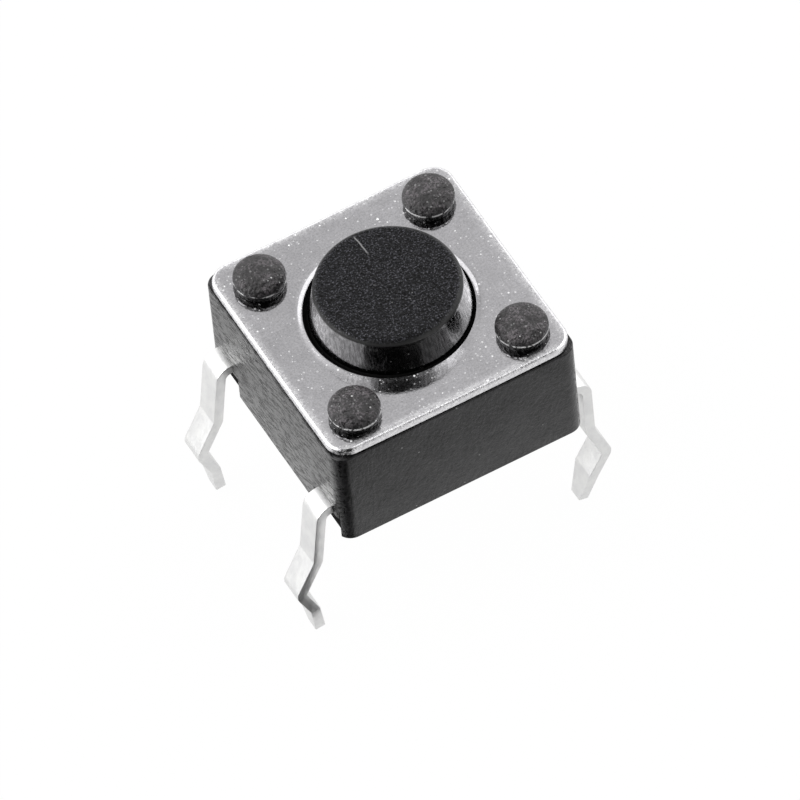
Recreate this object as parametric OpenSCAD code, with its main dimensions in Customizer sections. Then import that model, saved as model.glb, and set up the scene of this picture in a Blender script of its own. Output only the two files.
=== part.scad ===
// Tactile push button switch, 6 mm square, with four snap-in legs. Millimetres.
// The origin is the centre of the moulding's underside, and +Z points to the button.
// The legs leave the two X walls. Each strip of metal carries one leg on either side.

/* [Moulding] */
// Width of the square moulding, both ways
body_w = 6; // [5.8:0.1:7]
// Height of the moulding's walls
body_h = 2.77; // [2.65:0.05:4]
// Radius of the upright corners
corner_r = 0.35; // [0.2:0.05:0.6]
// Chamfer round the moulding's top edge, below the cover
top_chamfer = 0.03; // [0.01:0.01:0.1]
// Chamfer round the moulding's bottom edge
bottom_chamfer = 0.02; // [0.01:0.01:0.1]
// Thickness of the floor under the contact dome
floor_t = 0.94; // [0.8:0.02:1.1]
// Thickness of the plastic that covers the metal strips
film_t = 0.08; // [0.05:0.01:0.12]
// Width of the relief in the wall below each leg
relief_w = 1.1; // [0.8:0.05:1.2]
// Depth of the relief in the wall below each leg
relief_d = 0.13; // [0.05:0.01:0.2]

/* [Stakes] */
// Distance of each stake's axis from the two walls beside it
stake_inset = 0.9; // [0.84:0.02:0.96]
// Radius of the stakes
stake_r = 0.45; // [0.35:0.01:0.48]
// Radius of the formed heads at their widest
head_r = 0.58; // [0.56:0.005:0.65]
// Radius of the heads' seat on the cover
head_seat_r = 0.545; // [0.54:0.005:0.56]
// Height of the heads' widest edge above the cover
head_rim_h = 0.19; // [0.1:0.01:0.25]
// Height of the heads above the cover
head_h = 0.51; // [0.3:0.01:0.6]
// Fullness of the heads' domes, where 2 gives an ellipse and more gives a flatter top
head_fullness = 2.4; // [2:0.1:4]

/* [Cover] */
// Thickness of the cover's sheet
cover_t = 0.17; // [0.12:0.01:0.3]
// Distance of the cover's edge inside the moulding's walls
cover_margin = 0.035; // [0.02:0.005:0.12]
// Radius of the cover's corners
cover_corner_r = 0.5; // [0.3:0.02:0.7]
// Radius of the cover's rolled outer edge
cover_edge_r = 0.085; // [0.03:0.005:0.11]
// Radius of the cover's middle hole
hole_r = 1.89; // [1.85:0.01:2]
// Height of the lip that the punch raised round the middle hole
hole_lip_h = 0.035; // [0.01:0.005:0.06]
// Width of the lip round the middle hole
hole_lip_w = 0.06; // [0.04:0.01:0.2]
// Clearance round each stake in the cover
stake_gap = 0.05; // [0.02:0.01:0.08]
// Height of the lip round each stake hole
stake_lip_h = 0.02; // [0.01:0.005:0.08]
// Width of the lip round each stake hole
stake_lip_w = 0.03; // [0.02:0.01:0.15]
// Clearance between each formed head and the lip round it
stake_lip_gap = 0.005; // [0.005:0.005:0.02]

/* [Plunger] */
// Radius of the button at the cover's upper face
button_r = 1.757; // [1.6:0.01:1.8]
// Radius of the button at its top
button_top_r = 1.645; // [1.3:0.01:1.7]
// Height of the button above the cover
button_h = 0.9; // [0.6:0.01:7]
// Radius of the button's top edge
button_edge_r = 0.16; // [0.05:0.01:0.3]
// Width by which the flange passes under the cover
flange_lip = 0.3; // [0.15:0.01:0.35]
// Thickness of the flange
flange_t = 0.45; // [0.3:0.01:0.5]
// Clearance round the flange in the moulding
flange_gap = 0.1; // [0.03:0.01:0.12]
// Play between the flange and the cover
flange_play = 0.01; // [0.005:0.005:0.05]
// Radius of the boss that presses the dome
boss_r = 0.5; // [0.3:0.05:0.8]
// Travel of the button
travel = 0.25; // [0.1:0.01:0.26]
// Room left under the flange when the button is down
stop_gap = 0.05; // [0.02:0.01:0.1]

/* [Dome] */
// Radius of the contact dome
dome_r = 2; // [1.8:0.05:2.1]
// Rise of the dome's underside from rim to middle
dome_rise = 0.28; // [0.26:0.01:0.35]
// Thickness of the dome's sheet
dome_t = 0.06; // [0.04:0.01:0.1]
// Clearance round the dome in the moulding
dome_gap = 0.06; // [0.03:0.01:0.15]
// Gap between the dome and the boss at rest
press_gap = 0.01; // [0.005:0.005:0.02]

/* [Strips] */
// Thickness of the strips and legs
strip_t = 0.24; // [0.15:0.01:0.3]
// Width of the strips and legs
leg_w = 0.64; // [0.4:0.02:0.7]
// Distance between the legs of one side, axis to axis
leg_pitch = 4.5; // [4.4:0.02:4.6]
// Width of the arms and of the tongue
arm_w = 0.6; // [0.4:0.02:0.7]
// Distance of each arm from the middle
arm_x = 1.55; // [1.4:0.01:1.6]
// Radius of the raised rim contacts
rim_contact_r = 0.26; // [0.15:0.01:0.3]
// Radius of the pad under the middle of the dome
pad_r = 0.6; // [0.5:0.01:0.8]
// Radius of the raised middle contact
middle_contact_r = 0.4; // [0.2:0.01:0.45]

/* [Legs] */
// Straight run of the strip outside the wall
exit_run = 0.024; // [0:0.001:0.3]
// Inside radius of the bend at the wall
bend_r = 0.16; // [0.1:0.01:0.4]
// Lean of the legs on the -X side, away from upright
splay_left = 7.7; // [0:0.1:10]
// Lean of the legs on the +X side, away from upright
splay_right = 0; // [0:0.1:10]
// Run from the bend to the first kink
upper_run = 1.31; // [0.8:0.01:2]
// Run between the first and second kinks
middle_run = 0.89; // [0.5:0.01:1.2]
// Run between the second and third kinks
lower_run = 0.61; // [0.4:0.01:0.8]
// Turn outwards at the first kink
kink_out = 20.5; // [5:0.5:30]
// Turn inwards at the second kink
kink_in = 51.5; // [20:0.5:60]
// Turn back at the third kink
kink_back = 14.5; // [0:0.5:40]
// Inside radius of the kinks
kink_r = 0.08; // [0.03:0.01:0.2]
// Depth of the leg tips below the moulding's underside
leg_drop = 3.28; // [3.1:0.01:4]
// Width of the leg tips
tip_w = 0.34; // [0.2:0.02:0.4]
// Height over which the tips narrow
tip_taper = 0.5; // [0.2:0.02:0.7]

/* [Hidden] */
$fn = 64;
bend_steps = 6;
round_steps = 6;
head_steps = 8;
dome_steps = 10;
slab = 0.001;
lip_root = 0.05;
over = 0.1;
cover_top_z = body_h + cover_t;
strip_top_z = floor_t - film_t;
strip_bottom_z = strip_top_z - strip_t;
flange_r = hole_r + flange_lip;
flange_top_z = body_h - flange_play;
flange_bottom_z = flange_top_z - flange_t;
step_z = flange_bottom_z - travel - stop_gap;
dome_under_z = floor_t + dome_rise;
boss_z = dome_under_z + dome_t + press_gap;
middle_contact_z = dome_under_z + press_gap - travel;
stake_at = body_w / 2 - stake_inset;
rim_contact_y = sqrt(pow(dome_r, 2) - pow(arm_x, 2));
SIGNS = [-1, 1];

function heading(a) = [sin(a), -cos(a)];
function outward(a) = [cos(a), sin(a)];
function flip_x(p) = [-p.x, p.y];
function reverse(list) = [for (i = [len(list) - 1:-1:0]) list[i]];

// Points on an arc about a centre
function arc(centre, r, from, to, steps) =
    [for (i = [0:steps]) centre + r * outward(from + (to - from) * i / steps)];

// Outline of a square with round corners
function rounded_square(w, r) =
    [for (k = [0:3]) each arc((w / 2 - r) * sqrt(2) * outward(45 + 90 * k), r, 90 * k, 90 * k + 90, round_steps)];

// A leg's middle line, as [x, z, lean], after each run of [length, turn, inside radius]
function follow(runs, at, lean, i = 0) =
    i == len(runs) ? [] :
    let (
        turn = runs[i][1],
        r = sign(turn) * (runs[i][2] + strip_t / 2),
        end = at + runs[i][0] * heading(lean),
        centre = end + r * outward(lean),
        bend = [for (k = [1:bend_steps]) let (a = lean + turn * k / bend_steps) [each centre - r * outward(a), a]],
        last = bend[bend_steps - 1]
    )
    concat([[each end, lean]], bend, follow(runs, [last.x, last.y], last.z, i + 1));

function leg_line(splay) =
    let (
        start = [body_w / 2, strip_top_z - strip_t / 2],
        bent = follow([
            [exit_run, splay - 90, bend_r],
            [upper_run, kink_out, kink_r],
            [middle_run, -kink_in, kink_r],
            [lower_run, kink_back, kink_r]
        ], start, 90),
        last = bent[len(bent) - 1],
        tip = [last.x, last.y] + (last.y + leg_drop) / cos(last.z) * heading(last.z)
    )
    concat([[each start, 90]], bent, [[each tip, last.z]]);

function beside(line, d) = [for (s = line) [s.x, s.y] + d * outward(s.z)];

// Side view of a strip: both legs and the straight between them
function strip_side() =
    let (
        right = leg_line(splay_right),
        left = leg_line(splay_left)
    )
    concat(
        beside(right, strip_t / 2),
        reverse(beside(right, -strip_t / 2)),
        [for (p = beside(left, -strip_t / 2)) flip_x(p)],
        [for (p = reverse(beside(left, strip_t / 2))) flip_x(p)]
    );

// A square block with round corners, cut in at the given heights by the given amounts
module stepped_block(w, r, levels) {
    hull() {
        for (level = levels) {
            translate([0, 0, level[0]])
                linear_extrude(slab)
                    polygon(rounded_square(w - 2 * level[1], r - level[1]));
        }
    }
}

module at_stakes() {
    for (x = SIGNS, y = SIGNS) {
        translate([x * stake_at, y * stake_at, 0]) children();
    }
}

// The head widens from its seat to its rim, and a full dome closes it
module stake() {
    dome_h = head_h - head_rim_h;
    power = 2 / head_fullness;
    translate([0, 0, floor_t])
        cylinder(h = cover_top_z - floor_t + head_rim_h / 2, r = stake_r);
    translate([0, 0, cover_top_z])
        rotate_extrude()
            polygon(concat(
                [[0, 0], [head_seat_r, 0]],
                [for (i = [0:head_steps])
                    let (a = 90 * i / head_steps)
                    [head_r * pow(cos(a), power), head_rim_h + dome_h * pow(sin(a), power)]]
            ));
}

// Space for the dome below and for the plunger's flange above
module cavity() {
    translate([0, 0, floor_t])
        cylinder(h = body_h - floor_t + over, r = dome_r + dome_gap);
    translate([0, 0, step_z])
        cylinder(h = body_h - step_z + over, r = flange_r + flange_gap);
}

module relief() {
    translate([body_w / 2 - relief_d, -relief_w / 2, -over])
        cube([relief_d + over, relief_w, strip_bottom_z + over]);
}

// The moulding is formed round the two strips, so they shape their own slots in it
module base() {
    color([0.13, 0.13, 0.14]) {
        difference() {
            union() {
                stepped_block(body_w, corner_r, [
                    [0, bottom_chamfer],
                    [bottom_chamfer, 0],
                    [body_h - top_chamfer - slab, 0],
                    [body_h - slab, top_chamfer]
                ]);
                at_stakes() stake();
            }
            cavity();
            for (x = [0, 1], y = SIGNS) {
                mirror([x, 0, 0])
                    translate([0, y * leg_pitch / 2, 0])
                        relief();
            }
            outer_strip();
            centre_strip();
        }
    }
}

// The lip that a punch raises round a hole. It leans out by lean for each unit of height inside,
// is sharp at its crest, slopes away outside, and starts inside the sheet.
module lip(crest_r, lean, h, w) {
    rise = h + lip_root;
    rotate_extrude()
        polygon([[crest_r - lean * rise, -lip_root], [crest_r, h], [crest_r + w * rise / h, -lip_root]]);
}

module cover() {
    head_lean = (head_r - head_seat_r) / head_rim_h;
    stake_crest_r = head_seat_r + head_lean * stake_lip_h + stake_lip_gap;
    color([0.72, 0.72, 0.74]) {
        difference() {
            union() {
                translate([0, 0, body_h])
                    stepped_block(body_w - 2 * cover_margin, cover_corner_r, concat(
                        [[0, 0]],
                        [for (i = [0:round_steps])
                            let (a = 90 * i / round_steps)
                            [cover_t - slab - cover_edge_r * (1 - sin(a)), cover_edge_r * (1 - cos(a))]]
                    ));
                translate([0, 0, cover_top_z]) {
                    lip(hole_r, 0.5, hole_lip_h, hole_lip_w);
                    at_stakes() lip(stake_crest_r, head_lean, stake_lip_h, stake_lip_w);
                }
            }
            translate([0, 0, body_h - over])
                cylinder(h = cover_t + 2 * over, r = hole_r);
            at_stakes()
                cylinder(h = cover_top_z + over, r = stake_r + stake_gap);
        }
    }
}

module plunger() {
    top_z = cover_top_z + button_h;
    color([0.15, 0.15, 0.16]) {
        rotate_extrude()
            polygon(concat(
                [[0, boss_z], [boss_r, boss_z], [boss_r, flange_bottom_z]],
                [[flange_r, flange_bottom_z], [flange_r, flange_top_z]],
                [[button_r, flange_top_z], [button_r, cover_top_z]],
                arc([button_top_r - button_edge_r, top_z - button_edge_r], button_edge_r, 0, 90, round_steps),
                [[0, top_z]]
            ));
    }
}

// A shallow cap of a thin sphere, with its rim on the floor
module contact_dome() {
    ball_r = (pow(dome_r, 2) + pow(dome_rise, 2)) / (2 * dome_rise);
    ball_z = dome_under_z - ball_r;
    rim_a = asin(dome_r / ball_r);
    color([0.78, 0.76, 0.7]) {
        rotate_extrude()
            polygon(concat(
                arc([0, ball_z], ball_r, 90, 90 - rim_a, dome_steps),
                arc([0, ball_z], ball_r + dome_t, 90 - asin(dome_r / (ball_r + dome_t)), 90, dome_steps)
            ));
    }
}

// A strip with its two legs, at the middle of the part
module strip() {
    edge = [
        [leg_w / 2, body_h],
        [leg_w / 2, tip_taper - leg_drop],
        [tip_w / 2, -leg_drop],
        [tip_w / 2, -leg_drop - strip_t]
    ];
    intersection() {
        rotate([90, 0, 0])
            linear_extrude(leg_w, center = true)
                polygon(strip_side());
        rotate([90, 0, 90])
            linear_extrude(3 * body_w, center = true)
                polygon(concat(edge, [for (p = reverse(edge)) flip_x(p)]));
    }
}

module flat_plate(size, at) {
    translate([at.x - size.x / 2, at.y - size.y / 2, strip_bottom_z])
        cube([size.x, size.y, strip_t]);
}

// Two arms run under the dome's rim, with a raised contact at each crossing
module outer_strip() {
    arm_from = -leg_pitch / 2;
    arm_to = rim_contact_y + rim_contact_r;
    translate([0, -leg_pitch / 2, 0])
        strip();
    for (x = SIGNS) {
        flat_plate([arm_w, arm_to - arm_from], [x * arm_x, (arm_from + arm_to) / 2]);
        for (y = SIGNS) {
            translate([x * arm_x, y * rim_contact_y, strip_bottom_z])
                cylinder(h = floor_t - strip_bottom_z, r = rim_contact_r);
        }
    }
}

// A tongue runs to a pad under the dome's middle, with one raised contact
module centre_strip() {
    translate([0, leg_pitch / 2, 0])
        strip();
    flat_plate([arm_w, leg_pitch / 2], [0, leg_pitch / 4]);
    translate([0, 0, strip_bottom_z]) {
        cylinder(h = strip_t, r = pad_r);
        cylinder(h = middle_contact_z - strip_bottom_z, r = middle_contact_r);
    }
}

module outer_terminal() {
    color([0.86, 0.86, 0.85]) outer_strip();
}

module centre_terminal() {
    color([0.86, 0.86, 0.85]) centre_strip();
}

base();
cover();
plunger();
contact_dome();
outer_terminal();
centre_terminal();
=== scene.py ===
# %% [markdown]
# # A tactile push button switch
#
# This lesson dresses a small square push button switch: a black moulding, a bright cover held by four
# formed stakes, a round button and four kinked legs. The real object is 6 mm wide, so every piece is
# modelled in millimetres, where Blender's tools are comfortable, and scaled to metres at the end.

import math

import bmesh
import bpy
from mathutils import Matrix, Vector, noise


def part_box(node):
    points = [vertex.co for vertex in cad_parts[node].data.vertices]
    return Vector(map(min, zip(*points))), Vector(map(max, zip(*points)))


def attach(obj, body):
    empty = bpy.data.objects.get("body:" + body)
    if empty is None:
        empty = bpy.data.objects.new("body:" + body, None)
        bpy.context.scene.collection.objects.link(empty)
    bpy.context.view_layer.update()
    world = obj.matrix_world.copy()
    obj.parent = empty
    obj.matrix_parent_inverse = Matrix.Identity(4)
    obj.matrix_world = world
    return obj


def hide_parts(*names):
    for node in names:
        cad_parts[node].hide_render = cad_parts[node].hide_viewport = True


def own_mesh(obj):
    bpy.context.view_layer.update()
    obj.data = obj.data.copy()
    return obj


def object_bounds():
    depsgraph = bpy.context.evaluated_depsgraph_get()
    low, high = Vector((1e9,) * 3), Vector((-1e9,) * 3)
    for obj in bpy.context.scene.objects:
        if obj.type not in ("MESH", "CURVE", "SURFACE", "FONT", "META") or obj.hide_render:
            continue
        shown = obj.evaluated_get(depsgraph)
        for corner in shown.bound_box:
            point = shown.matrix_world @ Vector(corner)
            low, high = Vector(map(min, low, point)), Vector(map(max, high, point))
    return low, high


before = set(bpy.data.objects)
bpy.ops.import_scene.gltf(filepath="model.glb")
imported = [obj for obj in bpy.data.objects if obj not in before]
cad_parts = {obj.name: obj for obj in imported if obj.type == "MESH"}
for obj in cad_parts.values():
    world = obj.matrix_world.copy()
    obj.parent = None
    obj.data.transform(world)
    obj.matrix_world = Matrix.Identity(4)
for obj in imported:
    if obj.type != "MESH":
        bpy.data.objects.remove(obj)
cad_low, cad_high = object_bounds()
MM = 0.001
HOUSING = "housing"
BUTTON = "button"


def in_scene(name, data):
    """An object of some data, linked to the scene."""
    made = bpy.data.objects.new(name, data)
    bpy.context.scene.collection.objects.link(made)
    return made


# %% [markdown]
# ## Sizes
#
# The engineering model already says where each piece is. Its boxes give the main sizes, so the dressed
# pieces can't drift away from it. Small sizes that a box can't give, such as an edge's radius, are
# named here once, in millimetres.


# %% Sizes from the engineering model
def box_mm(node):
    low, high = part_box(node)
    return low / MM, high / MM


base_high = box_mm("base")[1]
cover_low, cover_high = box_mm("cover")
plunger_low, plunger_high = box_mm("plunger")
dome_low, dome_high = box_mm("contact_dome")

body_half = base_high.x
cover_half = cover_high.x
seat_z = cover_low.z
button_z = plunger_high.z
head_z = base_high.z
floor_z = dome_low.z
print(f"moulding {2 * body_half:.2f} wide and {seat_z:.2f} high, button top at {button_z:.2f}")

# %% Sizes of the small features
CORNER_R = 0.35
TOP_EDGE_R = 0.03
LOW_EDGE_R = 0.02
COVER_T = 0.17
COVER_CORNER_R = 0.5
COVER_EDGE_R = 0.085
HOLE_R = 1.89
HOLE_LIP_H = 0.028
HOLE_LIP_W = 0.115
FLANGE_LIP = 0.3
FLANGE_T = 0.45
FLANGE_GAP = 0.1
FLANGE_PLAY = 0.01
TRAVEL = 0.25
STOP_GAP = 0.05
STAKE_R = 0.45
STAKE_GAP = 0.05
STAKE_AT = body_half - 0.9
HEAD_R = 0.58
HEAD_SEAT_R = 0.545
HEAD_RIM_H = 0.18
HEAD_FULLNESS = 2.4
BUTTON_R = 1.8
BUTTON_TOP_R = 1.645
BUTTON_EDGE_R = 0.16
BOSS_R = 0.5
DOME_R = 2.0
DOME_T = 0.06
DOME_GAP = 0.06
STRIP_T = 0.24
FILM_T = 0.08
LEG_W = 0.64
LEG_PITCH = 4.5
ARM_W = 0.6
ARM_X = 1.55
RIM_CONTACT_R = 0.26
PAD_R = 0.6
MIDDLE_CONTACT_R = 0.4
RELIEF_W = 1.1
RELIEF_D = 0.13
LEG_DROP = 3.28
TIP_W = 0.34
TIP_TAPER = 0.5

plate_z = seat_z + COVER_T
strip_top = floor_z - FILM_T
strip_low = strip_top - STRIP_T
flange_r = HOLE_R + FLANGE_LIP
step_z = seat_z - FLANGE_PLAY - FLANGE_T - TRAVEL - STOP_GAP
print(f"strips lie at {strip_low:.2f} to {strip_top:.2f}, the flange's step is at {step_z:.2f}")

# %% [markdown]
# ## Camera
#
# The camera stands far off with a very long lens, as in a catalogue picture of a small part. Its pose is
# written as an azimuth, an elevation and a small roll, with the point it looks at in the part's middle.
# A long lens keeps the moulding's parallel edges almost parallel.

# %% Camera
AZIMUTH = math.radians(-24.282)
ELEVATION = math.radians(52.254)
ROLL = math.radians(-6.199)
DISTANCE = 375.5
LOOK_AT = Vector((0, 0, 1.8))
FRAME_MM = 17.326
SENSOR = 36.0

back = Vector((
    math.sin(AZIMUTH) * math.cos(ELEVATION),
    -math.cos(AZIMUTH) * math.cos(ELEVATION),
    math.sin(ELEVATION),
))
level = Vector((math.cos(AZIMUTH), math.sin(AZIMUTH), 0))
right = math.cos(ROLL) * level + math.sin(ROLL) * back.cross(level)
up = back.cross(right)
AIM_RIGHT = 0.1555
AIM_UP = -1.2739
eye = LOOK_AT + back * DISTANCE + right * AIM_RIGHT + up * AIM_UP

camera_data = bpy.data.cameras.new("camera")
camera_data.sensor_width = SENSOR
camera_data.lens = SENSOR * DISTANCE / FRAME_MM
camera_data.clip_start = 0.01
camera = in_scene("camera", camera_data)
axes = Matrix((right, up, back)).transposed().to_4x4()
camera.matrix_world = Matrix.Translation(eye * MM) @ axes
bpy.context.scene.camera = camera
bpy.context.scene.view_settings.view_transform = "Standard"
print(f"lens {camera_data.lens:.0f} mm at {DISTANCE:.0f} mm")

# %% [markdown]
# ## Mesh helpers
#
# Most pieces here are turned or stamped, so three helpers cover them: one skins a stack of closed
# rings, one turns a profile about Z, and one makes a flat plate. What they make is always a sealed
# solid, so Booleans can join and cut them.

# %% Mesh helpers
SHARP_ANGLE = math.radians(30)


def new_object(name, bm):
    """Turns a bmesh in millimetres into an object, smooth apart from its sharp edges."""
    bmesh.ops.remove_doubles(bm, verts=bm.verts, dist=1e-5)
    bmesh.ops.recalc_face_normals(bm, faces=bm.faces)
    mesh = bpy.data.meshes.new(name)
    bm.to_mesh(mesh)
    bm.free()
    mesh.shade_smooth()
    mesh.set_sharp_from_angle(angle=SHARP_ANGLE)
    return in_scene(name, mesh)


def arc(cx, cy, r, start, end, steps):
    """Points on an arc, with angles in degrees."""
    angles = [math.radians(start + (end - start) * i / steps) for i in range(steps + 1)]
    return [(cx + r * math.cos(a), cy + r * math.sin(a)) for a in angles]


def skin(rings, capped=True):
    """Joins rings of equal length with quads. A stack that doesn't end where it began needs its caps."""
    bm = bmesh.new()
    loops = [[bm.verts.new(p) for p in ring] for ring in rings]
    for low, high in zip(loops, loops[1:]):
        for i in range(len(low)):
            j = (i + 1) % len(low)
            bm.faces.new((low[i], low[j], high[j], high[i]))
    if capped:
        bm.faces.new(reversed(loops[0]))
        bm.faces.new(loops[-1])
    return bm


def turned(profile, segments, at=(0, 0)):
    """Turns a profile of (radius, height) about Z. A radius of 0 becomes a single pole."""
    bm = bmesh.new()

    def ring(r, z):
        if r == 0:
            return [bm.verts.new((at[0], at[1], z))]
        return [bm.verts.new((at[0] + x, at[1] + y, z)) for x, y in arc(0, 0, r, 0, 360, segments)[:-1]]

    loops = [ring(r, z) for r, z in profile]
    for low, high in zip(loops, loops[1:]):
        for i in range(segments):
            j = (i + 1) % segments
            corners = [low[i % len(low)], low[j % len(low)], high[j % len(high)], high[i % len(high)]]
            bm.faces.new(list(dict.fromkeys(corners)))
    return bm


def plate(x, y, z, bevel=0.0):
    """A flat plate with eased edges, from pairs of lowest and highest places."""
    bm = bmesh.new()
    size = Vector((x[1] - x[0], y[1] - y[0], z[1] - z[0]))
    middle = Vector((x[0] + x[1], y[0] + y[1], z[0] + z[1])) / 2
    place = Matrix.Translation(middle) @ Matrix.Diagonal((*size, 1))
    made = bmesh.ops.create_cube(bm, size=1, matrix=place)
    if bevel:
        edges = list({e for v in made["verts"] for e in v.link_edges})
        bmesh.ops.bevel(bm, geom=edges, offset=bevel, segments=2, profile=0.5, affect="EDGES")
    return bm


def rounded_square(half, r, z, steps=14, per_side=24):
    """A closed ring round a square with round corners and some points along each side."""
    c = half - r
    points = []
    for k, (x, y) in enumerate(((c, c), (-c, c), (-c, -c), (c, -c))):
        corner = arc(x, y, r, 90 * k, 90 * k + 90, steps)
        turn = math.radians(90 * k + 90)
        along = Vector((math.cos(turn + math.pi / 2), math.sin(turn + math.pi / 2)))
        last = Vector(corner[-1])
        side = [last + along * (2 * c * i / per_side) for i in range(1, per_side)]
        points += corner + [tuple(p) for p in side]
    return [(x, y, z) for x, y in points]


def carve(piece, name, bm, operation="DIFFERENCE"):
    """Cuts a piece with a bmesh, or joins the two."""
    cutter = new_object(name, bm)
    modifier = piece.modifiers.new(name, "BOOLEAN")
    modifier.operation = operation
    modifier.solver = "EXACT"
    modifier.object = cutter
    flatten(piece)
    bpy.data.objects.remove(cutter)


def flatten(piece):
    """Applies all modifiers of a piece, so that its mesh is plain."""
    graph = bpy.context.evaluated_depsgraph_get()
    mesh = bpy.data.meshes.new_from_object(piece.evaluated_get(graph))
    piece.modifiers.clear()
    piece.data = mesh


def to_metres(piece):
    """Scales a finished mesh from millimetres to the frame's metres."""
    piece.data.transform(Matrix.Scale(MM, 4))
    piece.data.shade_smooth()
    piece.data.set_sharp_from_angle(angle=SHARP_ANGLE)
    print(f"{piece.name}: {len(piece.data.polygons)} faces")


# %% [markdown]
# ## The strips and their legs
#
# Each strip is one stamping: it crosses the moulding flat, bends down at both walls and ends in two
# kinked legs that snap into a circuit board. A Geometry Nodes tree makes it from a drawn line: the
# corners are rounded to each bend's radius, and a flat profile is swept along it. Sweeping keeps the
# sheet's thickness true round every bend, which pushing vertices about wouldn't. The tree also
# narrows the tips, so that they find their holes.

# %% Line of a strip
LEAN_LEFT = 7.7
LEAN_RIGHT = 0.0
EXIT_RUN = 0.024
BEND_R = 0.16
KINK_R = 0.08
RUNS = [(1.31, 20.5), (0.89, -51.5), (0.61, 14.5)]


def corner_reach(turn, r):
    """Distance from a corner to where its rounding starts."""
    return r * math.tan(math.radians(abs(turn)) / 2)


def leg_corners(lean):
    """The corners of a leg's middle line as (x, z, radius), from the wall to the tip."""
    bend_r, kink_r = BEND_R + STRIP_T / 2, KINK_R + STRIP_T / 2
    before = corner_reach(90 - lean, bend_r)
    x = body_half + EXIT_RUN + before
    z = strip_top - STRIP_T / 2
    corners = [(x, z, bend_r)]
    for run, turn in RUNS:
        after = corner_reach(turn, kink_r)
        reach = before + run + after
        x += reach * math.sin(math.radians(lean))
        z -= reach * math.cos(math.radians(lean))
        corners.append((x, z, kink_r))
        lean += turn
        before = after
    drop = z + LEG_DROP
    corners.append((x + drop * math.tan(math.radians(lean)), z - drop, 0))
    return corners


def strip_line(name, y):
    """A strip's middle line as a poly mesh, with each corner's radius in an attribute."""
    left = [(-x, z, r) for x, z, r in reversed(leg_corners(LEAN_LEFT))]
    corners = left + leg_corners(LEAN_RIGHT)
    mesh = bpy.data.meshes.new(name)
    edges = [(i, i + 1) for i in range(len(corners) - 1)]
    mesh.from_pydata([(x, y, z) for x, z, r in corners], edges, [])
    radius = mesh.attributes.new("bend_radius", "FLOAT", "POINT")
    radius.data.foreach_set("value", [r for x, z, r in corners])
    return in_scene(name, mesh)


print("leg corners:", [(round(x, 2), round(z, 2)) for x, z, r in leg_corners(LEAN_LEFT)])


# %% Tree helpers
SOCKETS = {
    float: "NodeSocketFloat",
    int: "NodeSocketInt",
    tuple: "NodeSocketVector",
    type(None): "NodeSocketGeometry",
}


def new_tree(name, kind, inputs, outputs):
    """A node group with named sockets, whose kinds follow from their defaults, and its two ends."""
    tree = bpy.data.node_groups.new(name, kind)
    for way, sockets in (("INPUT", inputs), ("OUTPUT", outputs)):
        for label, value in sockets.items():
            socket = tree.interface.new_socket(label, in_out=way, socket_type=SOCKETS[type(value)])
            if value is not None:
                socket.default_value = value
    return tree, tree.nodes.new("NodeGroupInput"), tree.nodes.new("NodeGroupOutput")


def plug(socket, value):
    """Links a socket to another or to a node's first output, or sets its value."""
    if isinstance(value, bpy.types.Node):
        value = value.outputs[0]
    if isinstance(value, bpy.types.NodeSocket):
        socket.id_data.links.new(value, socket)
    else:
        socket.default_value = value


def add(tree, kind, links=None, **settings):
    """Adds a node, sets its properties, and plugs its inputs by name or number."""
    node = tree.nodes.new(kind)
    for key, value in settings.items():
        setattr(node, key, value)
    for key, value in (links or {}).items():
        plug(node.inputs[key], value)
    return node


def math_node(tree, operation, *values, clamp=False):
    """A Math node."""
    return add(tree, "ShaderNodeMath", dict(enumerate(values)), operation=operation, use_clamp=clamp)


def times(tree, *values):
    """The product of two or more values."""
    result = values[0]
    for value in values[1:]:
        result = math_node(tree, "MULTIPLY", result, value)
    return result


def vector_node(tree, operation, *values):
    """A Vector Math node's result, which is a number for a length or a dot product."""
    node = add(tree, "ShaderNodeVectorMath", dict(enumerate(values)), operation=operation)
    return node.outputs["Value" if operation in ("LENGTH", "DOT_PRODUCT") else "Vector"]


def split(tree, vector):
    """The X, Y and Z of a vector."""
    return add(tree, "ShaderNodeSeparateXYZ", {0: vector}).outputs


def levelled(tree, place):
    """A place without its height."""
    return vector_node(tree, "MULTIPLY", place, (1, 1, 0))


def run_tree(piece, tree, values):
    """Runs a tree on a piece with its own values and keeps the result as a plain mesh."""
    modifier = piece.modifiers.new(tree.name, "NODES")
    modifier.node_group = tree
    for item in tree.interface.items_tree:
        if item.in_out == "INPUT" and item.name in values:
            modifier[item.identifier] = values[item.name]
    flatten(piece)


# %% Tree of a kinked strip
tree, start, end = new_tree("kinked_strip", "GeometryNodeTree", {
    "Geometry": None,
    "Width": LEG_W,
    "Thickness": STRIP_T,
    "Edge Radius": 0.02,
    "Middle": 0.0,
    "Tip Height": -LEG_DROP,
    "Taper": TIP_TAPER,
    "Tip Share": TIP_W / LEG_W,
}, {"Geometry": None})
given = start.outputs
line = add(tree, "GeometryNodeMeshToCurve", {0: given["Geometry"]})
bend = add(tree, "GeometryNodeInputNamedAttribute", {"Name": "bend_radius"}, data_type="FLOAT")
rounded = add(tree, "GeometryNodeFilletCurve", {
    "Curve": line,
    "Radius": bend.outputs["Attribute"],
    "Count": 10,
}, mode="POLY")
section = add(tree, "GeometryNodeCurvePrimitiveQuadrilateral", {
    "Width": given["Width"],
    "Height": given["Thickness"],
})
eased = add(tree, "GeometryNodeFilletCurve", {
    "Curve": section,
    "Radius": given["Edge Radius"],
    "Count": 3,
}, mode="POLY")
swept = add(tree, "GeometryNodeCurveToMesh", {
    "Curve": rounded,
    "Profile Curve": eased,
    "Fill Caps": True,
})
parts = split(tree, add(tree, "GeometryNodeInputPosition"))
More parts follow.
